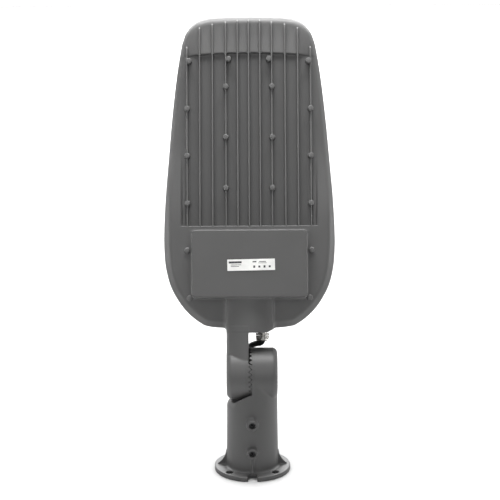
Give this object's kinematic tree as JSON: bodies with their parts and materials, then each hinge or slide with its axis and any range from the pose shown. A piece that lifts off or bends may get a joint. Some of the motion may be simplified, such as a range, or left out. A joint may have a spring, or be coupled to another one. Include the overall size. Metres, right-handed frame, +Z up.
{
  "type": "street luminaire head",
  "caption": "Mains LED street light head: finned housing with driver bulge, tilting on a toothed knuckle above a pole spigot with clamping set screws",
  "frame": {"origin": "centre of the pole socket's mouth, in the plane of the mounting flange's underside", "axes": "+Z up the spigot and pole, -Y the finned rear seen in the picture, +Y the LED side, +X right as seen from the finned rear"},
  "size_m": [0.2296, 0.2106, 0.5925],
  "materials": {
    "grey_paint": "fine textured grey powder coat on die-cast aluminium",
    "black_rubber": "matte black",
    "zinc_steel": "zinc plated",
    "nickel_brass": "nickel plated",
    "clear_lens": "clear moulded plastic",
    "board": "white solder mask",
    "grey_plastic": "moulded",
    "blue_plastic": "moulded",
    "label": "printed film"
  },
  "bodies": {
    "bracket": {"spigot_bracket": "grey_paint", "cable_grommet": "black_rubber", "pivot_bolt_washer": "zinc_steel", "supply_cable": "black_rubber"},
    "pivot_bolt": {"pivot_bolt": "zinc_steel"},
    "lower_set_screw": {"set_screw_lower": "zinc_steel"},
    "upper_set_screw": {"set_screw_upper": "zinc_steel"},
    "head": {"head_housing": "grey_paint", "driver_cover": "grey_paint", "lens_panel": "clear_lens", "lens_gasket": "black_rubber", "cover_gasket": "black_rubber", "led_board": "board", "led_driver": "grey_plastic", "terminal_block": "grey_plastic", "surge_protector": "blue_plastic", "supply_leads": "blue_plastic", "driver_input_lead": "black_rubber", "driver_output_lead": "black_rubber", "earth_screw": "zinc_steel", "gland_body": "nickel_brass", "gland_nut": "nickel_brass", "gland_seal": "black_rubber", "gland_locknut": "nickel_brass", "pivot_nut": "zinc_steel", "pivot_nut_washer": "zinc_steel", "rating_label": "label", "lens_screw_1": "zinc_steel", "lens_screw_2": "zinc_steel", "lens_screw_3": "zinc_steel", "lens_screw_4": "zinc_steel", "lens_screw_5": "zinc_steel", "lens_screw_6": "zinc_steel", "lens_screw_7": "zinc_steel", "lens_screw_8": "zinc_steel", "board_screw_1": "zinc_steel", "board_screw_2": "zinc_steel", "board_screw_3": "zinc_steel", "board_screw_4": "zinc_steel", "board_screw_5": "zinc_steel", "board_screw_6": "zinc_steel", "board_screw_7": "zinc_steel", "board_screw_8": "zinc_steel", "cover_screw_1": "zinc_steel", "cover_screw_2": "zinc_steel", "cover_screw_3": "zinc_steel", "cover_screw_4": "zinc_steel"}
  },
  "joints": [
    {"name": "head_tilt", "type": "hinge", "parent": "bracket", "child": "head", "pos_m": [0, 0, 0.135], "axis": [-1, 0, 0], "range_deg": [-33.75, 78.75], "deforming": ["supply_cable"]},
    {"name": "pivot_bolt_turn", "type": "hinge", "parent": "bracket", "child": "pivot_bolt", "pos_m": [0, 0, 0.135], "axis": [1, 0, 0], "continuous": true},
    {"name": "lower_screw_travel", "type": "slide", "parent": "bracket", "child": "lower_set_screw", "axis": [0, 1, 0], "range_m": [-0.003, 0.006]},
    {"name": "upper_screw_travel", "type": "slide", "parent": "bracket", "child": "upper_set_screw", "axis": [0, 1, 0], "range_m": [-0.003, 0.006]}
  ]
}
